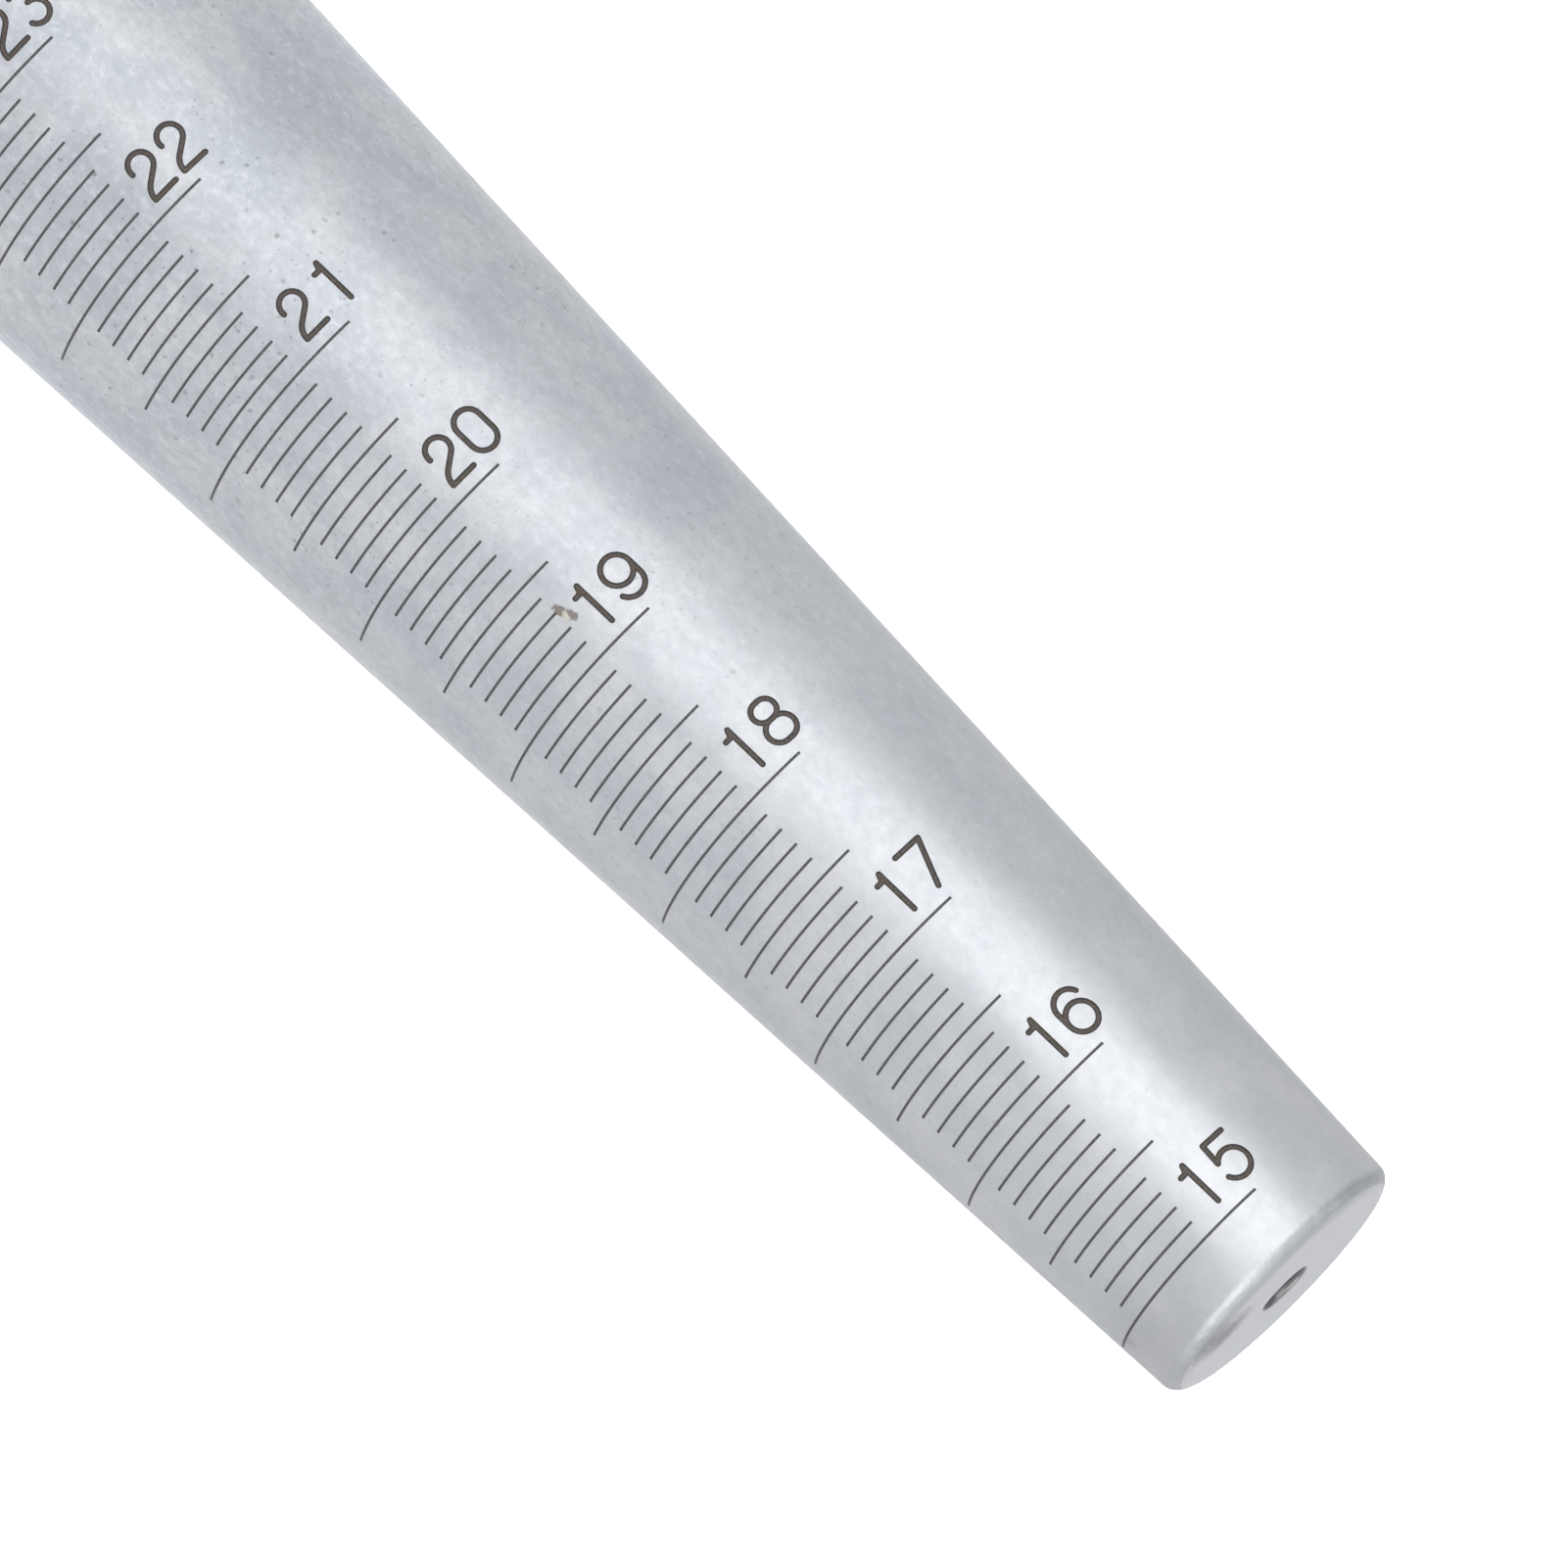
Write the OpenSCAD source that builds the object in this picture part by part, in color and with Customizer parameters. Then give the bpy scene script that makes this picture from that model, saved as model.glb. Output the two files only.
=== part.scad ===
// Graduated steel ring mandrel with a bolted-on knurled handle.
// The axis is +Z. The part stands on the handle's flat end at z = 0, with the small end of the taper on top.
// All dimensions are in millimetres, and angles are in degrees.

/* [Taper] */
// Diameter read at the smallest mark
small_mark_d = 15; // [13:1:18]
// Diameter read at the largest mark
large_mark_d = 30; // [24:1:32]
// Length of the taper for each millimetre of diameter
taper_rate = 10; // [8:1:15]
// Plain taper between the smallest mark and the tip's end face
tip_margin = 3.4; // [2.4:0.2:8]
// Plain taper between the largest mark and the handle
shoulder_margin = 5; // [4:1:12]
// Width of the rounded edge at the tip, along the end face
tip_round_w = 1.3; // [0.6:0.1:2]
// Height of the rounded edge at the tip, down the taper
tip_round_h = 0.9; // [0.4:0.1:1.4]
// Mouth diameter of the chamfered centre hole in the tip
centre_mouth_d = 3; // [2.9:0.1:4]
// Bore diameter of the centre hole
centre_bore_d = 2.8; // [2:0.1:2.8]
// Depth of the centre hole, without its drill point
centre_depth = 8; // [4:0.5:14]

/* [Scale] */
// Marks in each millimetre of diameter
marks_per_mm = 10; // [5, 10]
// Width of a mark
mark_w = 0.14; // [0.1:0.02:0.3]
// Depth of a mark below the taper
mark_depth = 0.05; // [0.03:0.01:0.15]
// Height of the numerals, over their outer edges
numeral_h = 2.66; // [2:0.1:3.2]
// Width of the numerals' strokes
numeral_stroke = 0.3; // [0.2:0.02:0.4]
// Gap between a whole-millimetre mark and the numeral above it
numeral_gap = 0.66; // [0.4:0.02:1.2]

/* [Handle] */
// Diameter over the grip's plain bands and knurl crests
grip_d = 28; // [24:0.5:28]
// Length of the knurled grip sleeve
grip_length = 46; // [36:1:70]
// Length of the collar between the taper and the grip
collar_length = 6; // [4:0.5:10]
// Length of the end cap
cap_length = 12; // [12:0.5:18]
// Diameter of the tang that carries the handle
tang_d = 16; // [14:0.5:18]
// Radial clearance of the pieces that slide on the tang
slide_gap = 0.05; // [0.02:0.01:0.1]

/* [Hardware] */
// Thread diameter of the clamp screw
screw_d = 6; // [5, 6]
// Length of the clamp screw under its head
screw_length = 20; // [16, 20, 25]
// Diameter of the screw's counterbore in the end cap
counterbore_d = 11; // [11:0.1:12]
// Diameter of the slotted spring pin that stops the grip turning
pin_d = 3; // [2.5, 3]
// Section diameter of the two O-rings on the tang
ring_section_d = 1.9; // [1.6:0.1:2]

/* [Hidden] */
$fn = 128;
eps = 0.01;

// Heights along the axis, from the base up
cap_top_z = cap_length;
grip_top_z = cap_top_z + grip_length;
shoulder_z = grip_top_z + collar_length;
large_mark_z = shoulder_z + shoulder_margin;
small_mark_z = large_mark_z + (large_mark_d - small_mark_d) * taper_rate;
tip_z = small_mark_z + tip_margin;

// The taper. The collar and the end cap are as wide as its large end.
slope = 1 / (2 * taper_rate);
taper_angle = atan(slope);
shoulder_r = taper_r(shoulder_z);
tip_r = taper_r(tip_z);
handle_d = 2 * shoulder_r;
tip_round_steps = 14;
// Angle of a drill's point
point_angle = 118;

// The scale stands on a datum line that faces -Y. Numerals are upright with the small end down, as they
// are read with a ring on the taper, and reading direction runs clockwise seen from above.
datum_angle = -90;
mark_count = (large_mark_d - small_mark_d) * marks_per_mm;
mark_pitch = taper_rate / marks_per_mm;
// How far each kind of mark runs along the surface, before and after the datum line
whole_mark_reach = [-8.2, 4.85];
half_mark_reach = [-6.3, 3.1];
minor_mark_reach = [-4.6, 1.6];
// The recess under a numeral is flat, so its middle is cut deeper than its sides
numeral_depth = 0.11;
numeral_centre = 4.3;
digit_gap = 0.3;
one_side_gap = 0.5;

// Stroke centre lines of the digits
digit_h = numeral_h - numeral_stroke;
loop_r = digit_h / 3;
zero_half_w = 0.7;
two_r = 0.63;
two_foot_r = 0.9;
eight_top_half_h = digit_h * 0.23;
eight_low_half_h = digit_h / 2 - eight_top_half_h;
digit_w = [2 * zero_half_w, 0.47, 1.36, 1.36, 1.5, 2 * loop_r, 2 * loop_r, 1.5, 1.56, 2 * loop_r];

// The tang and what is in it
tang_end_gap = 1;
tang_z = cap_top_z + tang_end_gap;
thread_gap = 0.05;
thread_depth = 18;
tang_chamfer = 1;
tang_mouth_d = 8;
edge_chamfer = 0.5;
bore_d = tang_d + 2 * slide_gap;

// The O-rings and their grooves
ring_centre_r = bore_d / 2 - ring_section_d / 2;
groove_r = bore_d / 2 - ring_section_d;
groove_w = ring_section_d * 1.3;
ring_inset = 7;
front_ring_z = grip_top_z - ring_inset;
rear_ring_z = cap_top_z + ring_inset;

// The grip
band_length = 5;
relief_w = 1.2;
relief_depth = 0.7;
bore_flare = 0.4;

// The spring pin crosses the grip's upper plain band, on the side away from the scale
pin_length = 8;
pin_inset = 0.6;
pin_wall = 0.55;
pin_slot_w = 0.7;
pin_z = grip_top_z - band_length / 2;
pin_end_r = grip_d / 2 - pin_inset;
pin_start_r = pin_end_r - pin_length;
pin_hole_d = pin_d + 0.02;
pin_clear_h = 0.4;

// The clamp screw, its washer and the plug, from the end cap's web down
web_h = 3;
web_z = cap_top_z - web_h;
washer_h = 1.6;
washer_id = screw_d + 0.1;
washer_od = screw_d * 1.65;
washer_slot_w = 1.2;
head_d = screw_d * 10 / 6;
head_h = screw_d;
head_top_z = web_z - washer_h;
head_z = head_top_z - head_h;
socket_af = screw_d * 5 / 6;
socket_depth = head_h / 2;
clearance_hole_d = screw_d * 1.1;
plug_h = 1;
plug_inset = 0.25;
plug_gap = 0.04;
cap_chamfer = 1;
foot_relief_r = 9;
foot_relief_h = 0.25;

// Radius of the taper at a height
function taper_r(z) = small_mark_d / 2 + (small_mark_z - z) * slope;

// Unit vector at an angle in the drawing plane
function direction(angle) = [cos(angle), sin(angle)];

// Angle around the axis that covers a distance along the surface
function arc_angle(distance, radius) = distance / radius * 180 / PI;

function mark_reach(i) =
  i % marks_per_mm == 0 ? whole_mark_reach
  : i % marks_per_mm == marks_per_mm / 2 ? half_mark_reach
  : minor_mark_reach;

function pair_gap(tens, ones) = digit_gap + (tens == 1 || ones == 1 ? one_side_gap : 0);

// ---- Numerals, drawn flat with their lower left centre line corner at the origin ----

module dot(p) {
  translate(p) circle(d = numeral_stroke, $fn = 32);
}

module stroke(p, q) {
  run = q - p;
  translate(p)
    rotate(atan2(run[1], run[0]))
      translate([0, -numeral_stroke / 2])
        square([norm(run), numeral_stroke]);
  dot(p);
  dot(q);
}

// A curved stroke about a centre, from one angle counter-clockwise to another
module bend(centre, r, from, to) {
  reach = 2 * r + numeral_stroke;
  steps = ceil((to - from) / 45);
  translate(centre)
    intersection() {
      difference() {
        circle(r = r + numeral_stroke / 2);
        circle(r = r - numeral_stroke / 2);
      }
      polygon([[0, 0], each [for (i = [0:steps]) reach * direction(from + (to - from) * i / steps)]]);
    }
  dot(centre + r * direction(from));
  dot(centre + r * direction(to));
}

// A filled round-ended shape with the given half width and half height
module blob(half_w, half_h) {
  r = min(half_w, half_h);
  dx = half_w - r;
  dy = half_h - r;
  for (side = [-1, 1])
    translate(side * [dx, dy]) circle(r = r);
  if (dx > 0) square([2 * dx, 2 * r], center = true);
  if (dy > 0) square([2 * r, 2 * dy], center = true);
}

// A closed round-ended stroke
module loop_stroke(centre, half_w, half_h) {
  translate(centre)
    difference() {
      blob(half_w + numeral_stroke / 2, half_h + numeral_stroke / 2);
      blob(half_w - numeral_stroke / 2, half_h - numeral_stroke / 2);
    }
}

module digit_0() {
  loop_stroke([zero_half_w, digit_h / 2], zero_half_w, digit_h / 2);
}

module digit_1() {
  flag = [digit_w[1] - 0.15, digit_h - 0.38];
  stroke([digit_w[1], 0], [digit_w[1], digit_h]);
  stroke([0, flag[1]], flag);
  stroke(flag, [digit_w[1], digit_h]);
}

module digit_2() {
  neck_angle = -55;
  foot_angle = 125;
  crown = [two_r + 0.07, digit_h - two_r];
  foot = [two_foot_r, 0];
  bend(crown, two_r, neck_angle, 188);
  stroke(crown + two_r * direction(neck_angle), foot + two_foot_r * direction(foot_angle));
  bend(foot, two_foot_r, foot_angle, 180);
  stroke([0, 0], [digit_w[2], 0]);
}

module digit_3() {
  low_r = digit_h * 0.265;
  top_r = digit_h / 2 - low_r;
  bend([low_r, digit_h - top_r], top_r, -90, 160);
  bend([low_r, low_r], low_r, -155, 90);
}

module digit_4() {
  stem_x = digit_w[4] * 0.75;
  bar_y = digit_h / 4;
  stroke([stem_x, 0], [stem_x, digit_h / 2]);
  stroke([0, bar_y], [digit_w[4], bar_y]);
  stroke([0, bar_y], [digit_w[4] * 0.6, digit_h]);
}

module digit_5() {
  start_angle = 143;
  bend([loop_r, loop_r], loop_r, -155, start_angle);
  stroke([loop_r, loop_r] + loop_r * direction(start_angle), [0.25, digit_h]);
  stroke([0.25, digit_h], [digit_w[5] - 0.08, digit_h]);
}

module digit_6() {
  loop_stroke([loop_r, loop_r], loop_r, loop_r);
  stroke([0, loop_r], [0, digit_h - loop_r]);
  bend([loop_r, digit_h - loop_r], loop_r, 25, 180);
}

module digit_7() {
  stroke([0, digit_h], [digit_w[7], digit_h]);
  stroke([digit_w[7], digit_h], [digit_w[7] / 3, 0]);
}

module digit_8() {
  middle = digit_w[8] / 2;
  loop_stroke([middle, digit_h - eight_top_half_h], middle * 0.84, eight_top_half_h);
  loop_stroke([middle, eight_low_half_h], middle, eight_low_half_h);
}

module digit_9() {
  translate([2 * loop_r, digit_h]) rotate(180) digit_6();
}

module digit(n) {
  if (n == 0) digit_0();
  if (n == 1) digit_1();
  if (n == 2) digit_2();
  if (n == 3) digit_3();
  if (n == 4) digit_4();
  if (n == 5) digit_5();
  if (n == 6) digit_6();
  if (n == 7) digit_7();
  if (n == 8) digit_8();
  if (n == 9) digit_9();
}

// The cutter for one digit: reach is how far the digit's left edge is past the datum line
module digit_cutter(n, mark_z, reach) {
  middle_z = mark_z - numeral_gap - numeral_h / 2;
  r = taper_r(middle_z);
  rotate(-arc_angle(reach + digit_w[n] / 2, r))
    translate([0, -r, middle_z])
      rotate([-taper_angle, 0, 0])
        rotate([0, 180, 0])
          rotate([90, 0, 0])
            translate([-digit_w[n] / 2, -digit_h / 2, -numeral_depth])
              linear_extrude(numeral_depth * 4)
                digit(n);
}

// The cutter for the two digits above one whole-millimetre mark
module numeral_cutter(value, mark_z) {
  tens = floor(value / 10);
  ones = value % 10;
  step = digit_w[tens] + numeral_stroke + pair_gap(tens, ones);
  start = numeral_centre - (step + digit_w[ones]) / 2;
  digit_cutter(tens, mark_z, start);
  digit_cutter(ones, mark_z, start + step);
}

// The cutter for one mark
module mark_cutter(mark_z, reach) {
  r = taper_r(mark_z);
  rotate(datum_angle - arc_angle(reach[1], r))
    rotate_extrude(angle = arc_angle(reach[1] - reach[0], r))
      translate([r - mark_depth, mark_z - mark_w / 2])
        square([mark_depth * 5, mark_w]);
}

module scale_cutter() {
  for (i = [0:mark_count])
    mark_cutter(small_mark_z - i * mark_pitch, mark_reach(i));
  for (value = [small_mark_d:large_mark_d])
    numeral_cutter(value, small_mark_z - (value - small_mark_d) * taper_rate);
}

// ---- The pieces ----

// A ring with chamfered outer edges
module chamfered_ring(r_in, r_out, z_low, z_high, low_chamfer, high_chamfer) {
  rotate_extrude()
    polygon([
      [r_in, z_low],
      [r_out - low_chamfer, z_low],
      [r_out, z_low + low_chamfer],
      [r_out, z_high - high_chamfer],
      [r_out - high_chamfer, z_high],
      [r_in, z_high],
    ]);
}

// The taper's solid. The tip's edge is part of an ellipse that touches both the taper and the end face.
module taper_solid() {
  round_x = tip_r + tip_round_h * slope - norm([tip_round_w, tip_round_h * slope]);
  round_z = tip_z - tip_round_h;
  first_angle = atan(slope * tip_round_h / tip_round_w);
  tip_edge = [
    for (i = [0:tip_round_steps])
      let (angle = first_angle + (90 - first_angle) * i / tip_round_steps)
        [round_x + tip_round_w * cos(angle), round_z + tip_round_h * sin(angle)]
  ];
  rotate_extrude()
    polygon([[0, shoulder_z], [shoulder_r, shoulder_z], each tip_edge, [0, tip_z]]);
}

// The cone a drill leaves at the bottom of a hole, pointing up
module drill_point(d) {
  cylinder(h = d / 2 / tan(point_angle / 2), d1 = d, d2 = 0);
}

// A drilled hole in the tip's end face, with a 45 degree chamfer around its mouth
module centre_hole() {
  mouth_h = (centre_mouth_d - centre_bore_d) / 2;
  floor_z = tip_z - centre_depth;
  translate([0, 0, tip_z - mouth_h])
    cylinder(h = mouth_h + eps, d1 = centre_bore_d, d2 = centre_mouth_d + 2 * eps);
  translate([0, 0, floor_z]) cylinder(h = centre_depth + eps, d = centre_bore_d);
  translate([0, 0, floor_z]) mirror([0, 0, 1]) drill_point(centre_bore_d);
}

module tang() {
  difference() {
    chamfered_ring(0, tang_d / 2, tang_z, shoulder_z + eps, tang_chamfer, 0);
    for (z = [front_ring_z, rear_ring_z])
      translate([0, 0, z - groove_w / 2])
        difference() {
          cylinder(h = groove_w, d = tang_d + 1);
          translate([0, 0, -eps]) cylinder(h = groove_w + 2 * eps, r = groove_r);
        }
  }
}

module tapped_hole() {
  hole_d = screw_d + 2 * thread_gap;
  mouth_h = (tang_mouth_d - hole_d) / 2;
  translate([0, 0, tang_z - eps]) cylinder(h = thread_depth + eps, d = hole_d);
  translate([0, 0, tang_z - eps]) cylinder(h = mouth_h + eps, d1 = tang_mouth_d, d2 = hole_d);
  translate([0, 0, tang_z + thread_depth]) drill_point(hole_d);
}

// A hole across the grip and the tang, out of the side away from the scale
module pin_hole() {
  translate([0, pin_start_r - pin_clear_h, pin_z])
    rotate([-90, 0, 0])
      cylinder(h = grip_d, d = pin_hole_d, $fn = 64);
}

module mandrel_body() {
  color("silver")
    difference() {
      union() {
        taper_solid();
        tang();
      }
      centre_hole();
      tapped_hole();
      pin_hole();
      scale_cutter();
    }
}

module front_collar() {
  color("gainsboro")
    difference() {
      chamfered_ring(bore_d / 2, handle_d / 2, grip_top_z, shoulder_z, edge_chamfer, edge_chamfer / 2);
      translate([0, 0, grip_top_z - eps])
        cylinder(h = bore_flare + eps, d1 = bore_d + 2 * bore_flare, d2 = bore_d);
    }
}

// The grooves that part the knurl from the plain bands
module grip_relief(z) {
  translate([0, 0, z])
    difference() {
      cylinder(h = relief_w, d = grip_d + 1);
      translate([0, 0, -eps]) cylinder(h = relief_w + 2 * eps, d = grip_d - 2 * relief_depth);
    }
}

module grip_sleeve() {
  color("darkgray")
    difference() {
      chamfered_ring(bore_d / 2, grip_d / 2, cap_top_z, grip_top_z, edge_chamfer, edge_chamfer);
      grip_relief(cap_top_z + band_length);
      grip_relief(grip_top_z - band_length - relief_w);
      pin_hole();
    }
}

module end_cap() {
  color("gainsboro")
    difference() {
      chamfered_ring(0, handle_d / 2, 0, cap_top_z, cap_chamfer, edge_chamfer);
      translate([0, 0, -eps]) cylinder(h = web_z + eps, d = counterbore_d);
      translate([0, 0, web_z - eps]) cylinder(h = web_h + 2 * eps, d = clearance_hole_d);
      translate([0, 0, -eps]) cylinder(h = foot_relief_h + eps, r = foot_relief_r);
    }
}

module clamp_screw() {
  color("dimgray")
    difference() {
      union() {
        chamfered_ring(0, head_d / 2, head_z, head_top_z, edge_chamfer, 0);
        chamfered_ring(0, screw_d / 2, head_top_z - eps, head_top_z + screw_length, 0, edge_chamfer);
      }
      translate([0, 0, head_z - eps])
        cylinder(h = socket_depth + eps, d = socket_af / cos(30), $fn = 6);
    }
}

module spring_washer() {
  color("slategray")
    difference() {
      chamfered_ring(washer_id / 2, washer_od / 2, web_z - washer_h, web_z, 0, 0);
      translate([0, -washer_slot_w / 2, web_z - washer_h - eps])
        cube([washer_od, washer_slot_w, washer_h + 2 * eps]);
    }
}

// A slotted tube, lying along +Y
module grip_pin() {
  color("gray")
    translate([0, pin_start_r, pin_z])
      rotate([-90, 0, 0])
        difference() {
          cylinder(h = pin_length, d = pin_d, $fn = 64);
          translate([0, 0, -eps]) cylinder(h = pin_length + 2 * eps, r = pin_d / 2 - pin_wall, $fn = 64);
          translate([0, -pin_slot_w / 2, -eps]) cube([pin_d, pin_slot_w, pin_length + 2 * eps]);
        }
}

module o_ring(z) {
  color("black")
    translate([0, 0, z])
      rotate_extrude()
        translate([ring_centre_r, 0]) circle(d = ring_section_d, $fn = 32);
}

module front_o_ring() {
  o_ring(front_ring_z);
}

module rear_o_ring() {
  o_ring(rear_ring_z);
}

module screw_plug() {
  color("black")
    chamfered_ring(0, counterbore_d / 2 - plug_gap, plug_inset, plug_inset + plug_h, plug_h / 4, plug_h / 4);
}

mandrel_body();
front_collar();
grip_sleeve();
end_cap();
clamp_screw();
spring_washer();
grip_pin();
front_o_ring();
rear_o_ring();
screw_plug();
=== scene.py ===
"""Looks of the steel ring mandrel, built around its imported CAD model.

Frame: metres, +Z along the axis, the handle's foot on the floor at z = 0 and the small end of the
taper on top. The scale faces -Y. A place on the taper is given by its height z and its reach: the
distance along the surface from the datum line, positive in the numerals' reading direction, which is
clockwise seen from above.
"""

import math

import bmesh
import bpy
from mathutils import Matrix, Vector
from mathutils.geometry import delaunay_2d_cdt


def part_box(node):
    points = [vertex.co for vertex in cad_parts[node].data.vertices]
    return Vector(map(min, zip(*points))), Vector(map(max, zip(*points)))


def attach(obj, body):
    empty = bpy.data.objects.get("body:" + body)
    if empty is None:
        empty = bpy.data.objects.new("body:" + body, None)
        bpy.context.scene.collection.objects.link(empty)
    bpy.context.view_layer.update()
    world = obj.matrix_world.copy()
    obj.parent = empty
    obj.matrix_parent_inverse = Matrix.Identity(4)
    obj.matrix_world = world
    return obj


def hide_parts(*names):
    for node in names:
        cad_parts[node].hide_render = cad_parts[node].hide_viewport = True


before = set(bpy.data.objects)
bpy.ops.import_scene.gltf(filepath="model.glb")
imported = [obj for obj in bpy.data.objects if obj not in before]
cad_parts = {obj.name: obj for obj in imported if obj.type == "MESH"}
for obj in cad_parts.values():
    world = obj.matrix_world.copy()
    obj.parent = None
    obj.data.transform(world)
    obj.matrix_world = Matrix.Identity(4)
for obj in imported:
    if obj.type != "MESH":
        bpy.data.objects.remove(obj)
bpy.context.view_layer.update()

MM = 0.001

# ---- Sizes that follow the CAD model ----

SHOULDER_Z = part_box("front_collar")[1].z
TIP_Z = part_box("mandrel_body")[1].z
TANG_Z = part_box("mandrel_body")[0].z
GRIP_LOW, GRIP_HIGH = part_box("grip_sleeve")
COLLAR_LOW, COLLAR_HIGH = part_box("front_collar")
CAP_LOW, CAP_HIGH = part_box("end_cap")
RING_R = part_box("front_o_ring")[1].x
RING_Z = [(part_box(name)[0].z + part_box(name)[1].z) / 2 for name in ("front_o_ring", "rear_o_ring")]

SMALL_MARK_D = 15
LARGE_MARK_D = 30
SLOPE = 1 / 20
TAPER_ANGLE = math.atan(SLOPE)
TIP_MARGIN = 3.4 * MM
TIP_ROUND_W = 1.3 * MM
TIP_ROUND_H = 0.9 * MM
CENTRE_MOUTH_R = 1.5 * MM
CENTRE_BORE_R = 1.4 * MM
CENTRE_DEPTH = 8 * MM
DRILL_HALF_ANGLE = math.radians(59)
SMALL_MARK_Z = TIP_Z - TIP_MARGIN
SHOULDER_CHAMFER = 0.2 * MM

TANG_R = 8 * MM
TANG_CHAMFER = 1 * MM
RING_SECTION = 1.9 * MM
GROOVE_R = RING_R - RING_SECTION
GROOVE_W = RING_SECTION * 1.3
BORE_R = RING_R
BORE_FLARE = 0.4 * MM
COUNTERBORE_R = 5.5 * MM
CLEARANCE_HOLE_R = 3.3 * MM
FOOT_RELIEF_R = 9 * MM
FOOT_RELIEF_H = 0.25 * MM
CAP_CHAMFER = 1 * MM
WEB_Z = CAP_HIGH.z - 3 * MM
GRIP_R = GRIP_HIGH.x
GRIP_CHAMFER = 0.5 * MM
BAND_LENGTH = 5 * MM
RELIEF_W = 1.2 * MM
RELIEF_DEPTH = 0.7 * MM
PIN_HOLE_R = 1.51 * MM
THREAD_R = 3.05 * MM
THREAD_MOUTH_R = 4 * MM
THREAD_DEPTH = 18 * MM

# The scale, with ten marks to each millimetre of diameter
MARKS_PER_MM = 10
MARK_PITCH = 1 * MM
MARK_COUNT = (LARGE_MARK_D - SMALL_MARK_D) * MARKS_PER_MM
MARK_W = 0.14 * MM
MARK_DEPTH = 0.05 * MM
WHOLE_REACH = (-8.2 * MM, 4.85 * MM)
HALF_REACH = (-6.3 * MM, 3.1 * MM)
MINOR_REACH = (-4.6 * MM, 1.6 * MM)
FADE_REACH = -6.2 * MM
DATUM_ANGLE = -math.pi / 2

# The knurl: each ring of a diamond lies at a share of the way to its corners and at a share of the depth
KNURL_COUNT = 68
KNURL_ROWS = 15
KNURL_DEPTH = 0.45 * MM
KNURL_CHAMFER = 0.6 * MM
KNURL_RINGS = ((1.0, 1.0), (0.93, 0.86), (0.38, 0.06), (0.28, 0.0))

# The numerals, in millimetres because the triangulation works best on numbers near 1
NUMERAL_H = 2.66
NUMERAL_STROKE = 0.3
NUMERAL_CORE = 0.17
NUMERAL_GAP = 0.66
NUMERAL_CENTRE = 4.3
DIGIT_GAP = 0.3
ONE_SIDE_GAP = 0.5
CLOSE = 1e-4
DIGIT_H = NUMERAL_H - NUMERAL_STROKE
LOOP_R = DIGIT_H / 3
DIGIT_W = [1.4, 0.47, 1.36, 1.36, 1.5, 2 * LOOP_R, 2 * LOOP_R, 1.5, 1.56, 2 * LOOP_R]
WINDOW_REACH = (2.2 * MM, 6.4 * MM)
WINDOW_MARKS = 4

# The grid on the taper: columns on the side of the scale and columns round the rest, and the steps of
# the tip's rounded edge, the first of which belong to the turned end face
SCALE_REACH = (-8.6 * MM, 6.8 * MM)
COLUMN_STEP = 0.2 * MM
PLAIN_COLUMNS = 120
TIP_ROUND_STEPS = 20
TURNED_ROUND_STEPS = 8

# The handle's turned pieces, and the angle from which an edge of any piece looks sharp
LATHE_COLUMNS = 160
SHARP_ANGLE = math.radians(30)


def taper_r(z):
    """Radius of the taper at a height."""
    return SMALL_MARK_D / 2 * MM + (SMALL_MARK_Z - z) * SLOPE


def steps_between(start, end, steps):
    """Evenly spaced values from start to end, both included."""
    return [start + (end - start) * i / steps for i in range(steps + 1)]


def arc_points(centre, radius, start, end, steps, height=None):
    """Points of a circle's arc, or of an ellipse's where a height is given. Angles are in degrees."""
    half_height = height or radius
    points = []
    for degrees in steps_between(start, end, steps):
        angle = math.radians(degrees)
        x = centre[0] + radius * math.cos(angle)
        points.append((x, centre[1] + half_height * math.sin(angle)))
    return points


# ---- The digits, as centre lines in millimetres with their lower left corner at the origin ----


def oval_path(x, y, half_w, half_h):
    """A closed round-ended path about (x, y)."""
    r = min(half_w, half_h)
    dx = half_w - r
    dy = half_h - r
    path = arc_points((x + dx, y + dy), r, 0, 90, 6)
    path += arc_points((x - dx, y + dy), r, 90, 180, 6)
    path += arc_points((x - dx, y - dy), r, 180, 270, 6)
    path += arc_points((x + dx, y - dy), r, 270, 360, 6)
    return path + path[:1]


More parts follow.
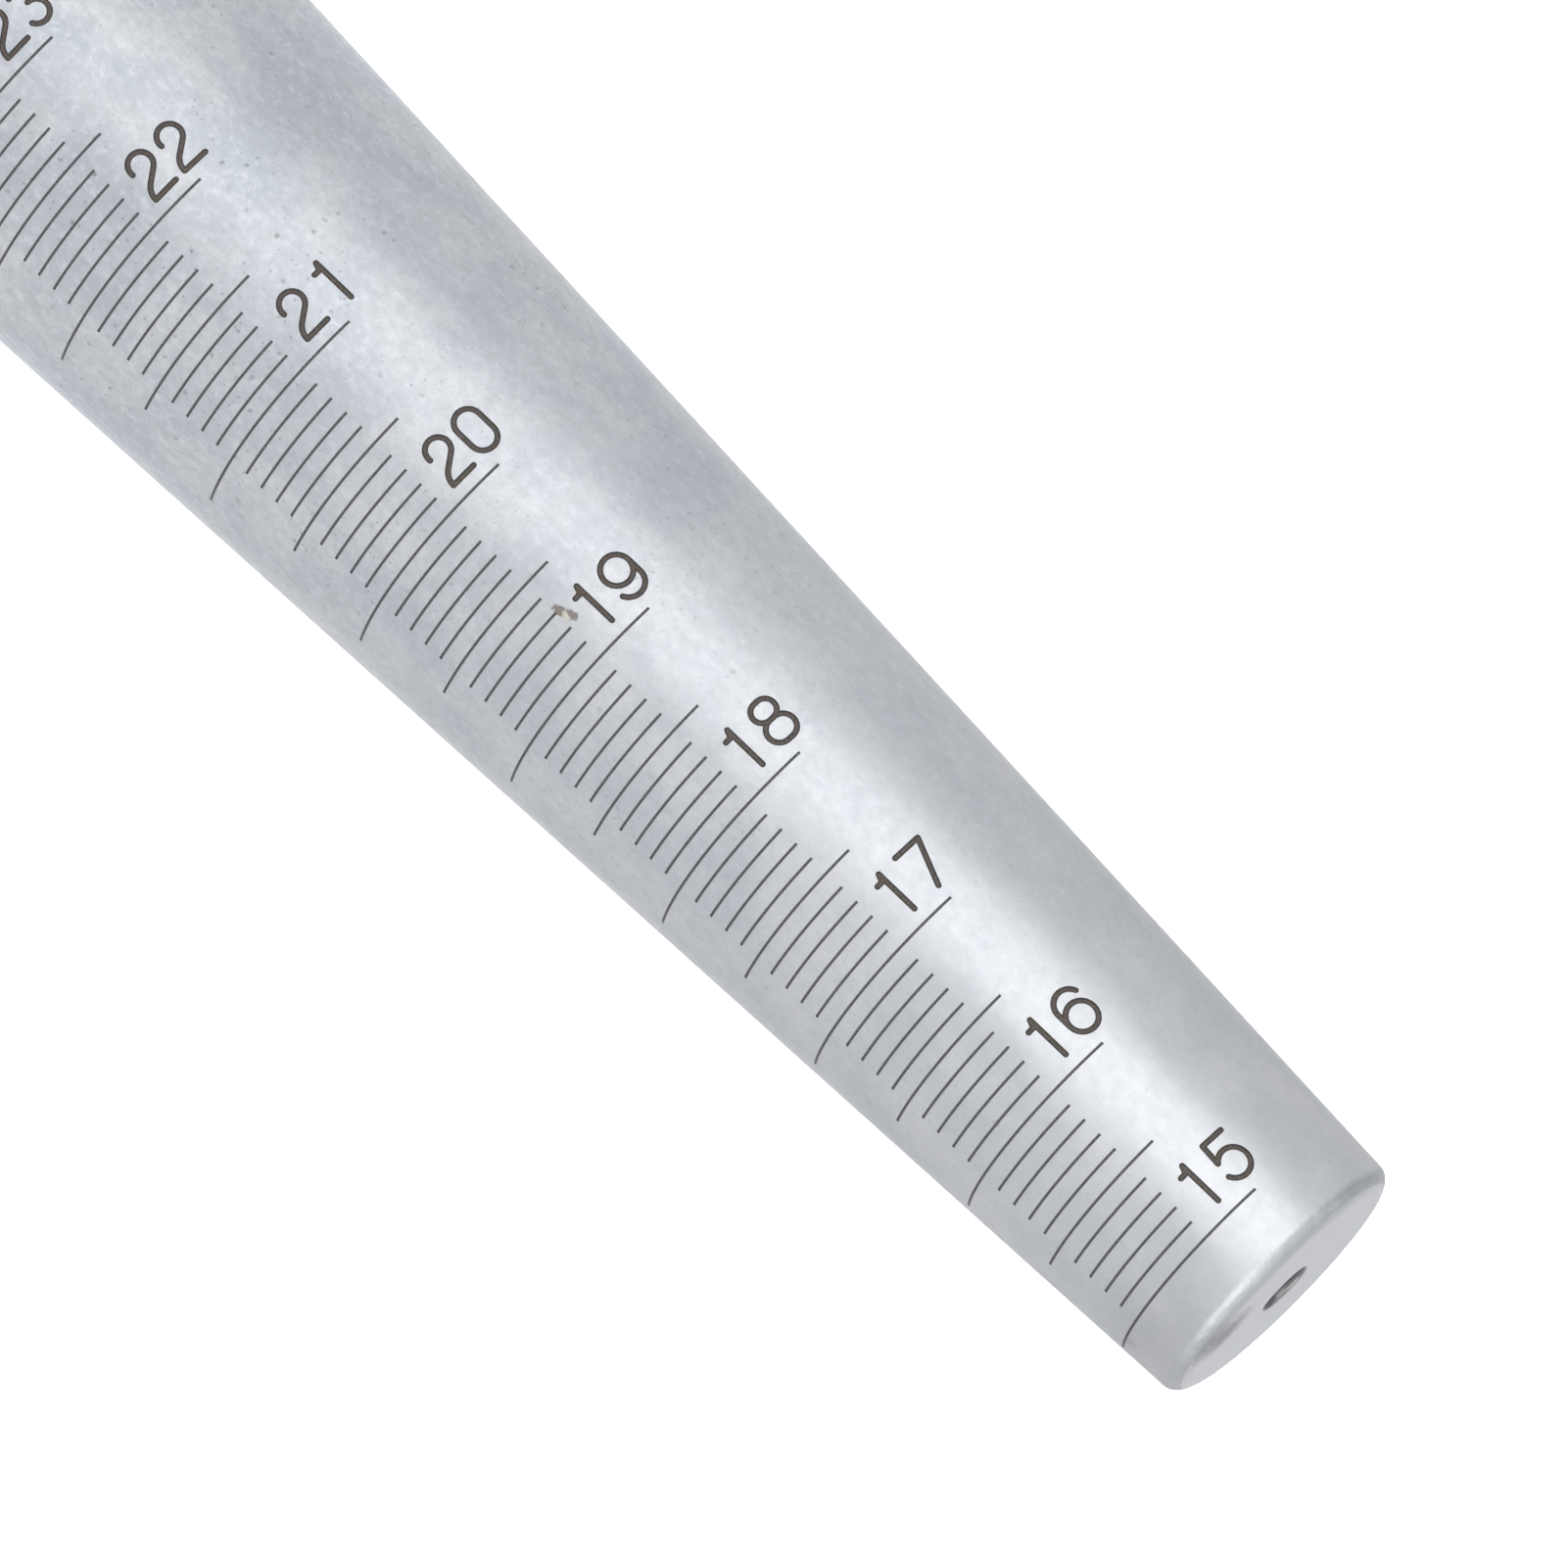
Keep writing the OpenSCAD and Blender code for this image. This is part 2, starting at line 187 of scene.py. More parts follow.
def digit_paths(n):
    """Centre lines of one digit. The 9 is the 6 upside down."""
    width = DIGIT_W[n]
    if n == 0:
        return [oval_path(width / 2, DIGIT_H / 2, width / 2, DIGIT_H / 2)]
    if n == 1:
        flag = (width - 0.15, DIGIT_H - 0.38)
        return [[(width, 0), (width, DIGIT_H)], [(0, flag[1]), flag], [flag, (width, DIGIT_H)]]
    if n == 2:
        crown_r = 0.63
        foot_r = 0.9
        crown = arc_points((0.7, DIGIT_H - crown_r), crown_r, 188, -55, 16)
        foot = arc_points((foot_r, 0), foot_r, 125, 180, 6)
        return [crown + foot, [(0, 0), (width, 0)]]
    if n == 3:
        low_r = DIGIT_H * 0.265
        top_r = DIGIT_H / 2 - low_r
        top = arc_points((low_r, DIGIT_H - top_r), top_r, 160, -90, 14)
        low = arc_points((low_r, low_r), low_r, 90, -155, 14)
        return [top, low]
    if n == 4:
        stem_x = width * 0.75
        bar_y = DIGIT_H / 4
        return [
            [(stem_x, 0), (stem_x, DIGIT_H / 2)],
            [(0, bar_y), (width, bar_y)],
            [(0, bar_y), (width * 0.6, DIGIT_H)],
        ]
    if n == 5:
        bowl = arc_points((LOOP_R, LOOP_R), LOOP_R, -155, 143, 20)
        corner = (0.25, DIGIT_H)
        return [bowl, [bowl[-1], corner], [corner, (width - 0.08, DIGIT_H)]]
    if n == 6:
        loop = oval_path(LOOP_R, LOOP_R, LOOP_R, LOOP_R)
        hook = [(0, LOOP_R)] + arc_points((LOOP_R, DIGIT_H - LOOP_R), LOOP_R, 180, 25, 12)
        return [loop, hook]
    if n == 7:
        return [[(0, DIGIT_H), (width, DIGIT_H)], [(width, DIGIT_H), (width / 3, 0)]]
    if n == 8:
        top_h = DIGIT_H * 0.23
        low_h = DIGIT_H / 2 - top_h
        middle = width / 2
        top = oval_path(middle, DIGIT_H - top_h, middle * 0.84, top_h)
        low = oval_path(middle, low_h, middle, low_h)
        return [top, low]
    turned = []
    for path in digit_paths(6):
        turned.append([(width - x, DIGIT_H - y) for x, y in path])
    return turned


def numeral_paths(value):
    """Centre lines of a two-digit numeral, with x as reach and y as height above the numeral's foot."""
    tens, ones = divmod(value, 10)
    gap = DIGIT_GAP + (ONE_SIDE_GAP if 1 in (tens, ones) else 0)
    step = DIGIT_W[tens] + NUMERAL_STROKE + gap
    start = NUMERAL_CENTRE - (step + DIGIT_W[ones]) / 2
    paths = []
    for digit, x0 in ((tens, start), (ones, start + step)):
        for path in digit_paths(digit):
            paths.append([(x0 + x, y) for x, y in path])
    return paths


def ribbon(path, width):
    """Quads of a stroke along a path, as lists of four (x, y) corners. Neighbours share corners."""
    steps = [path[0]]
    for place in path:
        if math.dist(place, steps[-1]) > CLOSE:
            steps.append(place)
    closed = math.dist(steps[0], steps[-1]) < CLOSE
    sides = []
    for i, (x, y) in enumerate(steps):
        before = steps[max(i - 1, 0)]
        after = steps[min(i + 1, len(steps) - 1)]
        if closed and i in (0, len(steps) - 1):
            before, after = steps[-2], steps[1]
        along = Vector((after[0] - before[0], after[1] - before[1])).normalized()
        side = Vector((-along.y, along.x)) * width / 2
        sides.append(((x + side.x, y + side.y), (x - side.x, y - side.y)))
    return [[a, b, d, c] for (a, b), (c, d) in zip(sides, sides[1:])]


def stroke_polygons(paths, width):
    """Overlapping polygons that together cover the strokes, with a round dot at each end of a path."""
    polygons = []
    for path in paths:
        polygons += ribbon(path, width)
        for end in (path[0], path[-1]):
            polygons.append(arc_points(end, width / 2, 0, 340, 17))
    return polygons


# ---- The mandrel's body ----


class Skin:
    """Collects the vertices, faces and exact surface normals of one mesh."""

    def __init__(self):
        self.points = []
        self.faces = []
        self.slots = []
        self.smooth = []
        self.normals = []

    def point(self, position):
        self.points.append(position)
        return len(self.points) - 1

    def face(self, corners, slot=0, smooth=True, normals=None):
        """A face. Without normals of its own, a smooth face takes the mean of its neighbours'."""
        self.faces.append(corners)
        self.slots.append(slot)
        self.smooth.append(smooth)
        self.normals += normals or [(0, 0, 0)] * len(corners)

    def mesh(self, name):
        """The collected faces as a mesh, without the points that no face uses."""
        used = sorted({index for face in self.faces for index in face})
        place = {index: i for i, index in enumerate(used)}
        points = [self.points[i] for i in used]
        faces = [[place[i] for i in face] for face in self.faces]
        mesh = bpy.data.meshes.new(name)
        mesh.from_pydata(points, [], faces)
        mesh.polygons.foreach_set("material_index", self.slots)
        mesh.polygons.foreach_set("use_smooth", self.smooth)
        mesh.set_sharp_from_angle(angle=SHARP_ANGLE)
        if any(normal != (0, 0, 0) for normal in self.normals):
            mesh.normals_split_custom_set(self.normals)
        return mesh


def new_object(name, mesh, *materials):
    obj = bpy.data.objects.new(name, mesh)
    bpy.context.scene.collection.objects.link(obj)
    for material in materials:
        mesh.materials.append(material)
    return obj


def column_reaches():
    """Reach of each grid column on the side of the scale. The ends of the marks fall on columns."""
    edges = WHOLE_REACH + HALF_REACH + MINOR_REACH + WINDOW_REACH + SCALE_REACH
    wanted = {round(v / MM, 4) for v in edges}
    count = round((SCALE_REACH[1] - SCALE_REACH[0]) / COLUMN_STEP)
    for value in steps_between(SCALE_REACH[0] / MM, SCALE_REACH[1] / MM, count):
        if min(abs(value - w) for w in wanted) > COLUMN_STEP / MM * 0.45:
            wanted.add(round(value, 4))
    return [value * MM for value in sorted(wanted)]


REACHES = column_reaches()
COLUMNS = len(REACHES) + PLAIN_COLUMNS


def column_at(reach):
    """The grid column nearest to a reach."""
    return min(range(len(REACHES)), key=lambda c: abs(REACHES[c] - reach))


def column_angle(column, r):
    """Angle of a grid column past the datum line, where the surface has radius r."""
    if column < len(REACHES):
        return REACHES[column] / r
    rest = 2 * math.pi - (REACHES[-1] - REACHES[0]) / r
    return REACHES[-1] / r + rest * (column - len(REACHES) + 1) / (PLAIN_COLUMNS + 1)


def around(angle, r, z):
    """The point at an angle past the datum line."""
    theta = DATUM_ANGLE - angle
    return (r * math.cos(theta), r * math.sin(theta), z)


def on_taper(reach, z):
    """The point of the taper at a place."""
    r = taper_r(z)
    return around(reach / r, r, z)


def taper_normal(position):
    """Outward normal of the taper at a point on it."""
    r = math.hypot(position[0], position[1])
    side = math.cos(TAPER_ANGLE) / r
    return (position[0] * side, position[1] * side, math.sin(TAPER_ANGLE))


def mark_reach(i):
    """Both ends of a mark, counted from the smallest."""
    if i % MARKS_PER_MM == 0:
        return WHOLE_REACH
    return HALF_REACH if i % (MARKS_PER_MM // 2) == 0 else MINOR_REACH


def mark_depth(reach):
    """Depth of a mark. The long marks run out at their far end."""
    fade = (reach - WHOLE_REACH[0]) / (FADE_REACH - WHOLE_REACH[0])
    return MARK_DEPTH * min(1, max(0.1, fade))


STEEL, TURNED, MARK_LINE, MARK_EDGE, MARK_CORE = range(5)


class Body(Skin):
    """The mandrel's body: rows round the axis that follow the marks, with the scale cut into them."""

    def __init__(self):
        super().__init__()
        self.below = {}

    def ring_row(self, r, z, spread_r):
        """A row of points round the axis, with the columns spread as they are at radius spread_r."""
        return [self.point(around(column_angle(c, spread_r), r, z)) for c in range(COLUMNS)]

    def band(self, upper, lower, on_cone=False, skip=(), slot=STEEL):
        """Faces between two rows, the upper one being nearer the tip along the outline."""
        for c in range(COLUMNS):
            if c in skip:
                continue
            d = (c + 1) % COLUMNS
            self.skin_face([upper[c], upper[d], lower[d], lower[c]], on_cone, slot)

    def skin_face(self, corners, on_cone, slot=STEEL):
        """A face that, on the cone, is shaded as the true cone."""
        normals = [taper_normal(self.points[i]) for i in corners] if on_cone else None
        self.face(corners, slot, True, normals)

    def cap(self, row, z, facing_up):
        """A fan from a row to a point on the axis."""
        centre = self.point((0, 0, z))
        for c in range(COLUMNS):
            d = (c + 1) % COLUMNS
            self.face([row[d], row[c], centre] if facing_up else [row[c], row[d], centre], TURNED)

    def sunk(self, index, depth):
        """The floor point under a point of the taper."""
        if index not in self.below:
            x, y, z = self.points[index]
            r = math.hypot(x, y)
            self.below[index] = self.point((x * (r - depth) / r, y * (r - depth) / r, z))
        return self.below[index]

    def wall(self, a, b, depth_a, depth_b, slot=MARK_LINE):
        """The side of a recess below the edge from a to b, seen from inside the recess."""
        self.face([a, b, self.sunk(b, depth_b), self.sunk(a, depth_a)], slot, False)

    def cut_mark(self, upper, lower, reach):
        """Sinks the cells between two rows and within a reach. Returns the columns it replaces."""
        first, last = column_at(reach[0]), column_at(reach[1])
        for c in range(first, last):
            near, far = mark_depth(REACHES[c]), mark_depth(REACHES[c + 1])
            a, b, d, e = upper[c], upper[c + 1], lower[c + 1], lower[c]
            floor = [self.sunk(a, near), self.sunk(b, far), self.sunk(d, far), self.sunk(e, near)]
            self.face(floor, MARK_LINE, False)
            self.wall(b, a, far, near)
            self.wall(e, d, near, far)
        self.wall(upper[first], lower[first], mark_depth(REACHES[first]), mark_depth(REACHES[first]))
        self.wall(lower[last], upper[last], mark_depth(REACHES[last]), mark_depth(REACHES[last]))
        return range(first, last)

    def cut_numeral(self, value, rows, columns, z_mark):
        """Replaces a block of cells by a triangulated patch with the numeral sunk into it."""
        grid = [rows[i][c] for i in range(len(rows)) for c in columns]
        wide = len(columns)
        flat = []
        for i, index in enumerate(grid):
            z = self.points[index][2]
            flat.append((REACHES[columns[i % wide]] / MM, (z_mark - z) / MM))
        border = []
        for i in range(len(rows) - 1):
            border += [(i * wide, (i + 1) * wide), ((i + 1) * wide - 1, (i + 2) * wide - 1)]
        for c in range(wide - 1):
            border += [(c, c + 1), (len(grid) - wide + c, len(grid) - wide + c + 1)]
        foot = NUMERAL_GAP + NUMERAL_STROKE / 2
        paths = [[(x, y + foot) for x, y in path] for path in numeral_paths(value)]
        polygons = stroke_polygons(paths, NUMERAL_STROKE)
        full_count = len(polygons)
        polygons += stroke_polygons(paths, NUMERAL_CORE)
        corners = []
        for polygon in polygons:
            corners.append(list(range(len(flat), len(flat) + len(polygon))))
            flat += polygon
        out = delaunay_2d_cdt([Vector(p) for p in flat], border, corners, 0, 1e-5)
        places, _, triangles, sources, _, owners = out
        index_of = []
        for place, source in zip(places, sources):
            known = [i for i in source if i < len(grid)]
            if known:
                index_of.append(grid[known[0]])
            else:
                index_of.append(self.point(on_taper(place[0] * MM, z_mark - place[1] * MM)))
        self.lay_patch(triangles, index_of, owners, full_count)

    def lay_patch(self, triangles, index_of, owners, full_count):
        """Lays triangles on the taper, or sunk where a stroke covers them, and adds the walls."""
        # A dict and not a set, so that the walls always come in the same order
        sunk_edges = {}
        for triangle, owner in zip(triangles, owners):
            corners = [index_of[i] for i in triangle]
            if not owner:
                self.skin_face(corners, True)
                continue
            slot = MARK_CORE if max(owner) >= full_count else MARK_EDGE
            self.face([self.sunk(i, MARK_DEPTH) for i in corners], slot, False)
            for edge in zip(corners, corners[1:] + corners[:1]):
                sunk_edges[edge] = True
        for a, b in sunk_edges:
            if (b, a) not in sunk_edges:
                self.wall(b, a, MARK_DEPTH, MARK_DEPTH, MARK_EDGE)


def build_tip(body):
    """The tip's centre hole, end face and rounded edge. Returns the last row, where the taper begins."""
    mouth_h = CENTRE_MOUTH_R - CENTRE_BORE_R
    soft = 0.04 * MM
    round_x = taper_r(TIP_Z) + TIP_ROUND_H * SLOPE - math.hypot(TIP_ROUND_W, TIP_ROUND_H * SLOPE)
    last_angle = math.degrees(math.atan(SLOPE * TIP_ROUND_H / TIP_ROUND_W))
    outline = [
        (CENTRE_BORE_R, TIP_Z - CENTRE_DEPTH),
        (CENTRE_BORE_R, TIP_Z - mouth_h - soft),
        (CENTRE_BORE_R + soft, TIP_Z - mouth_h + soft),
        (CENTRE_MOUTH_R - soft, TIP_Z - soft),
        (CENTRE_MOUTH_R + soft, TIP_Z),
    ]
    outline += [(r, TIP_Z) for r in steps_between(CENTRE_MOUTH_R + 0.3 * MM, round_x - 0.2 * MM, 4)]
    turned_rows = len(outline) + TURNED_ROUND_STEPS
    centre = (round_x, TIP_Z - TIP_ROUND_H)
    outline += arc_points(centre, TIP_ROUND_W, 90, last_angle, TIP_ROUND_STEPS, TIP_ROUND_H)
    spread_r = outline[-1][0]
    rows = [body.ring_row(r, z, spread_r) for r, z in outline]
    body.cap(rows[0], outline[0][1] - CENTRE_BORE_R / math.tan(DRILL_HALF_ANGLE), True)
    for i in range(len(rows) - 1):
        body.band(rows[i], rows[i + 1], slot=TURNED if i < turned_rows else STEEL)
    return rows[-1]


def build_scale(body, first_row):
    """The taper with its marks and numerals. Returns its last row, at the shoulder."""
    heights = []
    for i in range(MARK_COUNT + 1):
        z = SMALL_MARK_Z - i * MARK_PITCH
        heights += [z + MARK_W / 2, z - MARK_W / 2]
    heights.append(SHOULDER_Z + SHOULDER_CHAMFER)
    rows = [body.ring_row(taper_r(z), z, taper_r(z)) for z in heights]
    window = list(range(column_at(WINDOW_REACH[0]), column_at(WINDOW_REACH[1]) + 1))
    body.band(first_row, rows[0], True)
    for i in range(len(rows) - 1):
        skip = set()
        mark = i // 2
        if i % 2 == 0:
            skip |= set(body.cut_mark(rows[i], rows[i + 1], mark_reach(mark)))
        past_whole = i - (mark - mark % MARKS_PER_MM) * 2 - 1
        if 0 <= past_whole < 2 * WINDOW_MARKS - 1:
            skip |= set(window[:-1])
        body.band(rows[i], rows[i + 1], True, skip)
    for value in range(SMALL_MARK_D, LARGE_MARK_D + 1):
        mark = (value - SMALL_MARK_D) * MARKS_PER_MM
        block = rows[2 * mark + 1 : 2 * mark + 1 + 2 * WINDOW_MARKS]
        body.cut_numeral(value, block, window, SMALL_MARK_Z - mark * MARK_PITCH)
    return rows[-1]


def build_tang(body, first_row):
    """The shoulder, the tang with its O-ring grooves, and the tapped hole in its end."""
    edge_r = taper_r(SHOULDER_Z)
    outline = [(edge_r - SHOULDER_CHAMFER, SHOULDER_Z), (TANG_R, SHOULDER_Z)]
    for z in RING_Z:
        outline += [
            (TANG_R, z + GROOVE_W / 2),
            (GROOVE_R, z + GROOVE_W / 2),
            (GROOVE_R, z - GROOVE_W / 2),
            (TANG_R, z - GROOVE_W / 2),
        ]
    mouth_h = THREAD_MOUTH_R - THREAD_R
    outline += [
        (TANG_R, TANG_Z + TANG_CHAMFER),
        (TANG_R - TANG_CHAMFER, TANG_Z),
        (THREAD_MOUTH_R, TANG_Z),
        (THREAD_R, TANG_Z + mouth_h),
        (THREAD_R, TANG_Z + THREAD_DEPTH),
    ]
    rows = [first_row] + [body.ring_row(r, z, edge_r) for r, z in outline]
    for outer, inner in zip(rows, rows[1:]):
        body.band(outer, inner, slot=TURNED)
    body.cap(rows[-1], outline[-1][1] + THREAD_R / math.tan(DRILL_HALF_ANGLE), False)


def make_body(*materials):
    """The mandrel's body, with its materials in the order of their slots."""
    body = Body()
    row = build_tip(body)
    row = build_scale(body, row)
    build_tang(body, row)
    obj = new_object("steel_taper", body.mesh("steel_taper"), *materials)
    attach(obj, "root")
    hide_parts("mandrel_body")


# ---- The handle ----


def turned_rows(skin, outline, angles):
    """A row of points round the axis for each (r, z) of an outline."""
    return [[skin.point(around(angle, r, z)) for angle in angles] for r, z in outline]


def join_rows(skin, rows):
    """Faces between each row and the next. The outline runs counter-clockwise, with z up."""
    for row, after in zip(rows, rows[1:]):
        for c in range(len(row)):
            d = (c + 1) % len(row)
            skin.face([row[d], row[c], after[c], after[d]])


def lathe(name, outline):
    """A mesh turned about the axis from a closed outline."""
    skin = Skin()
    angles = [2 * math.pi * c / LATHE_COLUMNS for c in range(LATHE_COLUMNS)]
    rows = turned_rows(skin, outline, angles)
    join_rows(skin, rows + rows[:1])
    return skin.mesh(name)


def rounded(corners, steps=5):
    """An outline through (r, z, radius) corners, each rounded by its radius."""
    outline = []
    for i, (x, y, radius) in enumerate(corners):
        here = Vector((x, y))
        before = Vector(corners[i - 1][:2])
        after = Vector(corners[(i + 1) % len(corners)][:2])
        if radius == 0:
            outline.append((x, y))
            continue
        to_before = (before - here).normalized()
        to_after = (after - here).normalized()
        half = to_before.angle(to_after) / 2
        cut = radius / math.tan(half)
        centre = here + (to_before + to_after).normalized() * radius / math.sin(half)
        start = here + to_before * cut - centre
        turn = math.pi - 2 * half
        if to_before.x * to_after.y - to_before.y * to_after.x > 0:
            turn = -turn
        for j in range(steps + 1):
            p = centre + Matrix.Rotation(turn * j / steps, 2) @ start
            outline.append((p.x, p.y))
    return outline


def collar_outline():
    """Cross section of the collar."""
    chamfer = GRIP_CHAMFER
    outer, low, high = COLLAR_HIGH.x, COLLAR_LOW.z, COLLAR_HIGH.z
    return rounded([
        (BORE_R + BORE_FLARE, low, 0.05 * MM),
        (outer - chamfer, low, 0.15 * MM),
        (outer, low + chamfer, 0.15 * MM),
        (outer, high - chamfer / 2, 0.1 * MM),
        (outer - chamfer / 2, high, 0.1 * MM),
        (BORE_R, high, 0),
        (BORE_R, low + BORE_FLARE, 0),
    ])


def cap_outline():
    """Cross section of the cap, with the web that the screw pulls on and the relief in its foot."""
    outer, low, high = CAP_HIGH.x, CAP_LOW.z, CAP_HIGH.z
    return rounded([
        (COUNTERBORE_R, low + FOOT_RELIEF_H, 0.1 * MM),
        (FOOT_RELIEF_R, low + FOOT_RELIEF_H, 0.05 * MM),
        (FOOT_RELIEF_R, low, 0.05 * MM),
        (outer - CAP_CHAMFER, low, 0.3 * MM),
        (outer, low + CAP_CHAMFER, 0.3 * MM),
        (outer, high - GRIP_CHAMFER, 0.15 * MM),
        (outer - GRIP_CHAMFER, high, 0.15 * MM),
        (CLEARANCE_HOLE_R, high, 0),
        (CLEARANCE_HOLE_R, WEB_Z, 0),
        (COUNTERBORE_R, WEB_Z, 0),
    ])


def grip_outline(low, high):
    """The plain parts of the grip, from the knurl's upper limit round the bore to its lower limit."""
    floor_r = GRIP_R - RELIEF_DEPTH
    band_end = RELIEF_W + BAND_LENGTH
    edge = [
        (floor_r, RELIEF_W, 0.1 * MM),
        (GRIP_R, RELIEF_W, 0.12 * MM),
        (GRIP_R, band_end - GRIP_CHAMFER, 0.2 * MM),
        (GRIP_R - GRIP_CHAMFER, band_end, 0.2 * MM),
        (BORE_R, band_end, 0.1 * MM),
    ]
    above = [(r, high + h, radius) for r, h, radius in edge]
    below = [(r, low - h, radius) for r, h, radius in reversed(edge)]
    upper_end = [(GRIP_R - KNURL_DEPTH, high, 0), (floor_r, high, 0)]
    lower_end = [(floor_r, low, 0), (GRIP_R - KNURL_DEPTH, low, 0)]
    return rounded(upper_end + above + below + lower_end, 3)


class Knurl(Skin):
    """Rows of raised diamonds round the grip. A place is (pitches round the grip, height)."""

    def __init__(self, low, high):
        super().__init__()
        self.low = low
        self.high = high
        self.known = {}

    def crest(self, u, z, share):
        """The point at a place, below the crests by a share of the depth. Both ends are chamfered."""
        key = (round(u % KNURL_COUNT, 4), round(z / MM, 4))
        if key not in self.known:
            ramp = min(1, min(z - self.low, self.high - z) / KNURL_CHAMFER)
            depth = KNURL_DEPTH * max(share, 1 - ramp)
            self.known[key] = self.point(around(u * 2 * math.pi / KNURL_COUNT, GRIP_R - depth, z))
        return self.known[key]

    def diamond(self, u, z, half_h, corners):
        """A diamond, or half of one with three corners, as rings that step in and up to the crest."""
        rings = []
        for reach, share in KNURL_RINGS:
            across = reach / 2
            along = half_h * reach
            rings.append([self.crest(u + x * across, z + y * along, share) for x, y in corners])
        sides = len(corners) if len(corners) == 4 else len(corners) - 1
        for outer, inner in zip(rings, rings[1:]):
            for i in range(sides):
                j = (i + 1) % len(corners)
                self.face([outer[i], outer[j], inner[j], inner[i]])
        self.face(rings[-1])


def make_grip(material):
    """The knurled sleeve, with the hole for the spring pin on the side away from the scale."""
    low = GRIP_LOW.z + BAND_LENGTH + RELIEF_W
    high = GRIP_HIGH.z - BAND_LENGTH - RELIEF_W
    half_h = (high - low) / KNURL_ROWS / 2
    knurl = Knurl(low, high)
    for row in range(2 * KNURL_ROWS + 1):
        corners = [(1, 0), (0, -1), (-1, 0), (0, 1)]
        if row == 0:
            corners = [(-1, 0), (0, 1), (1, 0)]
        if row == 2 * KNURL_ROWS:
            corners = [(1, 0), (0, -1), (-1, 0)]
        for i in range(KNURL_COUNT):
            knurl.diamond(i + row % 2 / 2, low + row * half_h, half_h, corners)
    offsets = sorted({side * reach / 2 for reach, _ in KNURL_RINGS for side in (-1, 1)})[:-1]
    places = [i + offset for i in range(KNURL_COUNT) for offset in offsets]
    angles = [u * 2 * math.pi / KNURL_COUNT for u in places]
    rows = turned_rows(knurl, grip_outline(low, high)[1:-1], angles)
    upper_end = [knurl.crest(u, high, 1) for u in places]
    lower_end = [knurl.crest(u, low, 1) for u in places]
    join_rows(knurl, [upper_end] + rows + [lower_end])
    grip = new_object("knurled_grip", knurl.mesh("knurled_grip"), material)
    drill(grip, PIN_HOLE_R, GRIP_HIGH.z - BAND_LENGTH / 2)
    return grip


def drill(obj, radius, z):
    """Cuts a round hole along +Y out of the axis through one side of an object."""
    rod = bmesh.new()
    turn = Matrix.Translation((0, GRIP_R, z)) @ Matrix.Rotation(math.pi / 2, 4, "X")
    length = GRIP_R * 0.9
    bmesh.ops.create_cone(
        rod, cap_ends=True, segments=64, radius1=radius, radius2=radius, depth=length, matrix=turn
    )
    mesh = bpy.data.meshes.new("drill")
    rod.to_mesh(mesh)
    rod.free()
    cutter = new_object("drill", mesh)
    cut = obj.modifiers.new("hole", "BOOLEAN")
    cut.operation = "DIFFERENCE"
    cut.solver = "EXACT"
    cut.object = cutter
    done = obj.evaluated_get(bpy.context.evaluated_depsgraph_get())
    solid = bpy.data.meshes.new_from_object(done)
    obj.modifiers.clear()
    obj.data = solid
    solid.set_sharp_from_angle(angle=SHARP_ANGLE)
    bpy.data.objects.remove(cutter)


def make_handle():
    """The collar, the knurled sleeve and the end cap."""
    steel = turned_steel("handle_steel", 0.54, 0.3)
    collar = new_object("turned_collar", lathe("turned_collar", collar_outline()), steel)
    cap = new_object("turned_cap", lathe("turned_cap", cap_outline()), steel)
    grip = make_grip(knurled_steel())
    pieces = (
        (collar, "front_collar", "handle_steel"),
        (grip, "grip_sleeve", "grip_steel"),
        (cap, "end_cap", "handle_steel"),
    )
    for piece, node, slot in pieces:
        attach(piece, "root")
        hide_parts(node)


def paint_hardware():
    """Finishes for the CAD pieces that are shown as they are."""
    finishes = {
        "clamp_screw": blackened_steel(),
        "spring_washer": spring_steel(),
        "grip_pin": turned_steel("pin_steel", 0.45, 0.35),
        "screw_plug": plug_plastic(),
    }
    rubber = ring_rubber()
    finishes["front_o_ring"] = rubber
    finishes["rear_o_ring"] = rubber
    for name, material in finishes.items():
        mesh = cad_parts[name].data
        mesh.materials.clear()
        mesh.materials.append(material)


# ---- Materials ----


class Nodes:
    """Adds shader nodes to one node tree."""

    def __init__(self, tree):
        self.tree = tree

    def node(self, kind, settings=None, **inputs):
        """A new node. Each input is a number, a tuple or another node's output."""
        made = self.tree.nodes.new("ShaderNode" + kind)
        for name, value in (settings or {}).items():
            setattr(made, name, value)
        for name, value in inputs.items():
            self.feed(made.inputs[name.replace("_", " ")], value)
        return made

    def feed(self, socket, value):
        if isinstance(value, bpy.types.NodeSocket):
            self.tree.links.new(value, socket)
        else:
            socket.default_value = value

    def remap(self, value, low, high, to_low=0, to_high=1):
        """The value, moved from the range low to high to the range to_low to to_high."""
        made = self.node("MapRange", Value=value)
        names = ("From Min", "From Max", "To Min", "To Max")
        for name, number in zip(names, (low, high, to_low, to_high)):
            made.inputs[name].default_value = number
        return made.outputs[0]

    def math(self, operation, a, b):
        made = self.tree.nodes.new("ShaderNodeMath")
        made.operation = operation
        self.feed(made.inputs[0], a)
        self.feed(made.inputs[1], b)
        return made.outputs[0]

    def both(self, *masks):
        """The product of several masks."""
        product = masks[0]
        for mask in masks[1:]:
            product = self.math("MULTIPLY", product, mask)
        return product


